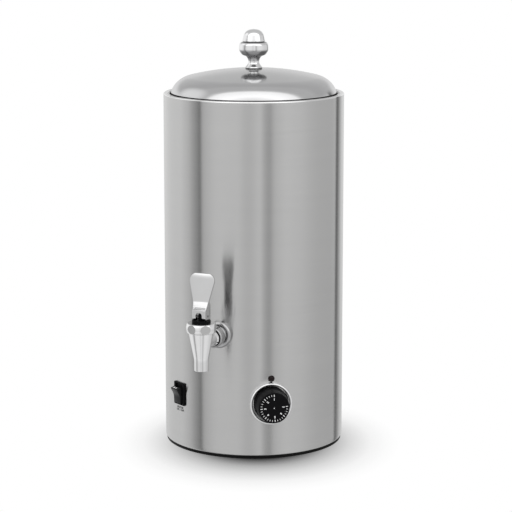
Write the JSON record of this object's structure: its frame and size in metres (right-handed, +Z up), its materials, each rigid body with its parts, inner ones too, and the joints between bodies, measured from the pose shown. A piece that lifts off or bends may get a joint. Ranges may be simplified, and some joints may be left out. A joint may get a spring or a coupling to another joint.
{
  "type": "heated drink dispenser",
  "caption": "Tall round insulated drink dispenser in brushed steel with a domed lift-off lid, lever tap, thermostat dial and rocker switch, heated from below.",
  "frame": {"origin": "on the casing's axis, in the plane of the base ring's underside", "axes": "+Z up along the casing's axis, the tap points to -Y, the dial is on the +X side"},
  "size_m": [0.25, 0.3486, 0.577],
  "materials": {
    "casing_steel": "stainless sheet, brushed round the body",
    "lid_steel": "stainless sheet, mirror polished",
    "tank_steel": "stainless sheet, satin",
    "plain_steel": "zinc plated sheet, dull",
    "fastener_steel": "bright turned steel",
    "chrome_plate": "bright chrome plate over brass",
    "lever_chrome": "bright chrome plate over pressed metal",
    "knob_chrome": "bright chrome plate",
    "base_plastic": "moulded, fine matt",
    "dial_plastic": "moulded, semi-gloss, white scale",
    "black_plastic": "moulded, semi-gloss",
    "rocker_plastic": "moulded, semi-gloss",
    "smoked_lens": "smoked, polished",
    "black_rubber": "matt",
    "silicone": "translucent white, satin",
    "cream_plastic": "moulded, matt",
    "insulation": "needled mineral wool",
    "spreader_aluminium": "cast, dull",
    "element_sheath": "oxidised sheath",
    "copper": "drawn copper",
    "brass": "bright",
    "wire_sleeve": "braided heat-proof sleeve"
  },
  "bodies": {
    "shell": {"base_ring": "base_plastic", "bottom_cover": "plain_steel", "base_screws": "fastener_steel", "casing_front": "casing_steel", "casing_rear": "casing_steel", "inner_tank": "tank_steel", "insulation_jacket": "insulation", "heat_spreader": "spreader_aluminium", "heating_element": "element_sheath", "element_clamp": "plain_steel", "heater_stud": "fastener_steel", "heater_nuts": "fastener_steel", "heat_shield": "plain_steel", "thermal_cutout": "cream_plastic", "thermostat_bracket": "plain_steel", "thermostat_body": "cream_plastic", "thermostat_screws": "fastener_steel", "capillary_tube": "copper", "sensor_bulb": "copper", "dial_bezel": "chrome_plate", "indicator_lens": "smoked_lens", "indicator_holder": "black_plastic", "switch_housing": "black_plastic", "switch_terminals": "brass", "terminal_block": "cream_plastic", "terminal_screws": "brass", "cord_gland": "black_plastic", "gland_nut": "black_plastic", "wiring_loom": "wire_sleeve", "tap_shank": "chrome_plate", "shank_nut": "chrome_plate", "inner_washer": "silicone", "outer_washer": "silicone", "shank_spacer": "plain_steel", "tap_escutcheon": "chrome_plate", "union_nut": "chrome_plate", "union_seal": "silicone", "tap_tail": "chrome_plate", "tap_gasket": "black_rubber", "tap_body": "chrome_plate", "tap_bonnet": "chrome_plate", "stem_guide": "black_plastic", "tap_spring": "fastener_steel"},
    "lid": {"lid_shell": "lid_steel", "lid_liner": "tank_steel", "lid_insulation": "insulation", "lid_seal": "black_rubber", "lid_knob": "knob_chrome", "knob_screw": "fastener_steel", "knob_washer": "fastener_steel"},
    "dial": {"thermostat_shaft": "fastener_steel", "thermostat_knob": "dial_plastic"},
    "rocker": {"switch_rocker": "rocker_plastic"},
    "stem": {"tap_stem": "black_plastic", "seat_cup": "silicone"},
    "lever": {"tap_lever": "lever_chrome", "lever_pin": "fastener_steel"}
  },
  "joints": [
    {"name": "lid_lift", "type": "slide", "parent": "shell", "child": "lid", "axis": [0, 0, 1], "range_m": [0, 0.25]},
    {"name": "stem_lift", "type": "slide", "parent": "shell", "child": "stem", "axis": [0, 0, 1], "range_m": [0, 0.0026], "deforming": ["tap_spring"]},
    {"name": "lever_tilt", "type": "hinge", "parent": "stem", "child": "lever", "pos_m": [0, -0.1883, 0.2115], "axis": [1, 0, 0], "range_deg": [0, 40], "stiffness_Nm_per_rad": 0.25},
    {"name": "rocker_press", "type": "hinge", "parent": "shell", "child": "rocker", "pos_m": [-0.0679, -0.10376, 0.079], "axis": [-0.8368, 0.5476, 0], "range_deg": [0, 32]},
    {"name": "dial_turn", "type": "hinge", "parent": "shell", "child": "dial", "pos_m": [0.06606, -0.10612, 0.079], "axis": [-0.5284, 0.849, 0], "range_deg": [0, 276]}
  ],
  "couplings": [
    {"joint": "stem_lift", "follows": "lever_tilt", "m_per_rad": 0.0035}
  ]
}
